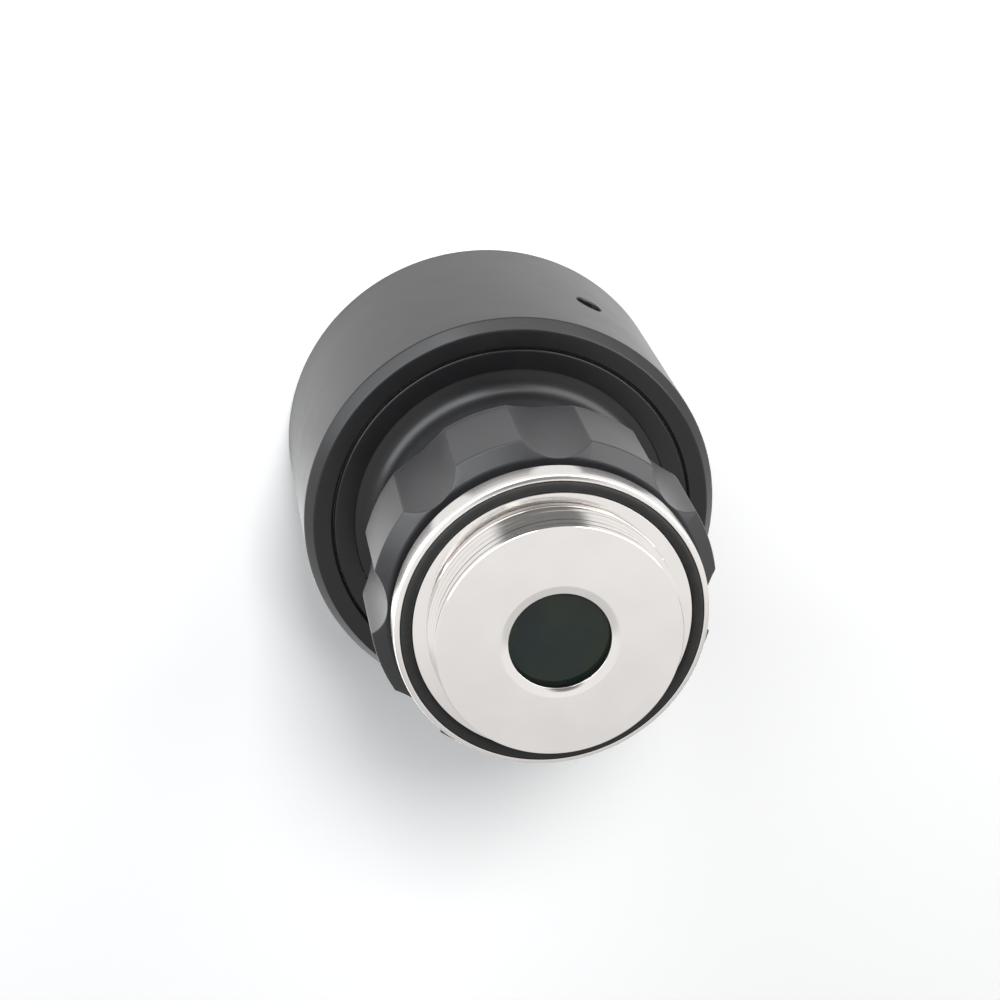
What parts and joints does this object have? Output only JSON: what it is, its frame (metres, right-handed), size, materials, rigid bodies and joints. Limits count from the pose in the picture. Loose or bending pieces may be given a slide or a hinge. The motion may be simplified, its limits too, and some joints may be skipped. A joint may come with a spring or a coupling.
{
  "type": "endoscope camera coupler",
  "caption": "Screw-thread camera adapter with a fluted focus ring and a turning clamp sleeve whose jaws grip an endoscope eyecup.",
  "frame": {"origin": "centre of the clamp sleeve's rear rim, on the optical axis", "axes": "+Z along the optical axis towards the camera thread; -Y is the side that the picture looks down on"},
  "size_m": [0.0454, 0.0454, 0.0574],
  "materials": {
    "stainless_steel": "fine turned, bare",
    "black_anodised": "matt black anodised",
    "black_rubber": "smooth, slightly dull",
    "black_acetal": "smooth",
    "coated_glass": "polished, coated",
    "bronze": "machined",
    "brass": "machined",
    "spring_steel": "drawn wire"
  },
  "bodies": {
    "body": {"main_body": "black_anodised", "rear_hub": "black_anodised", "c_mount_adapter": "stainless_steel", "flange_o_ring": "black_rubber", "front_window": "coated_glass", "window_gasket": "black_rubber", "window_retainer": "black_anodised", "thrust_washer": "black_acetal", "sleeve_seal": "black_rubber", "sleeve_return_spring": "spring_steel", "rear_window": "coated_glass", "rear_window_seal": "black_rubber", "rear_window_retainer": "black_anodised"},
    "focus_ring": {"focus_ring": "black_anodised", "front_focus_seal": "black_rubber", "rear_focus_seal": "black_rubber"},
    "lens_group": {"lens_cell": "black_anodised", "focus_pin_1": "stainless_steel", "focus_pin_2": "stainless_steel", "focus_pin_3": "stainless_steel", "rear_flint_lens": "coated_glass", "rear_crown_lens": "coated_glass", "lens_spacer": "black_anodised", "front_crown_lens": "coated_glass", "front_flint_lens": "coated_glass", "lens_retainer": "black_anodised"},
    "clamp_sleeve": {"clamp_sleeve": "black_anodised", "cam_ring": "bronze", "rear_retaining_ring": "black_anodised", "stop_screw": "stainless_steel"},
    "jaw_1": {"jaw_1": "brass"},
    "jaw_2": {"jaw_2": "brass"},
    "jaw_3": {"jaw_3": "brass"}
  },
  "joints": [
    {"name": "focus_turn", "type": "hinge", "parent": "body", "child": "focus_ring", "pos_m": [0, 0, 0.0409], "axis": [0, 0, 1], "range_deg": [-50, 50]},
    {"name": "lens_slide", "type": "slide", "parent": "body", "child": "lens_group", "axis": [0, 0, 1], "range_m": [-0.0015, 0.0015]},
    {"name": "sleeve_turn", "type": "hinge", "parent": "body", "child": "clamp_sleeve", "pos_m": [0, 0, 0.0144], "axis": [0, 0, 1], "range_deg": [0, 35], "stiffness_Nm_per_rad": 0.08, "springref_deg": -17.19},
    {"name": "jaw_1_slide", "type": "slide", "parent": "body", "child": "jaw_1", "axis": [0, 1, 0], "range_m": [0, 0.0018]},
    {"name": "jaw_2_slide", "type": "slide", "parent": "body", "child": "jaw_2", "axis": [-0.866, -0.5, 0], "range_m": [0, 0.0018]},
    {"name": "jaw_3_slide", "type": "slide", "parent": "body", "child": "jaw_3", "axis": [0.866, -0.5, 0], "range_m": [0, 0.0018]}
  ],
  "couplings": [
    {"joint": "lens_slide", "follows": "focus_turn", "m_per_rad": 0.0017188},
    {"joint": "jaw_1_slide", "follows": "sleeve_turn", "m_per_rad": 0.0029466},
    {"joint": "jaw_2_slide", "follows": "sleeve_turn", "m_per_rad": 0.0029466},
    {"joint": "jaw_3_slide", "follows": "sleeve_turn", "m_per_rad": 0.0029466}
  ]
}
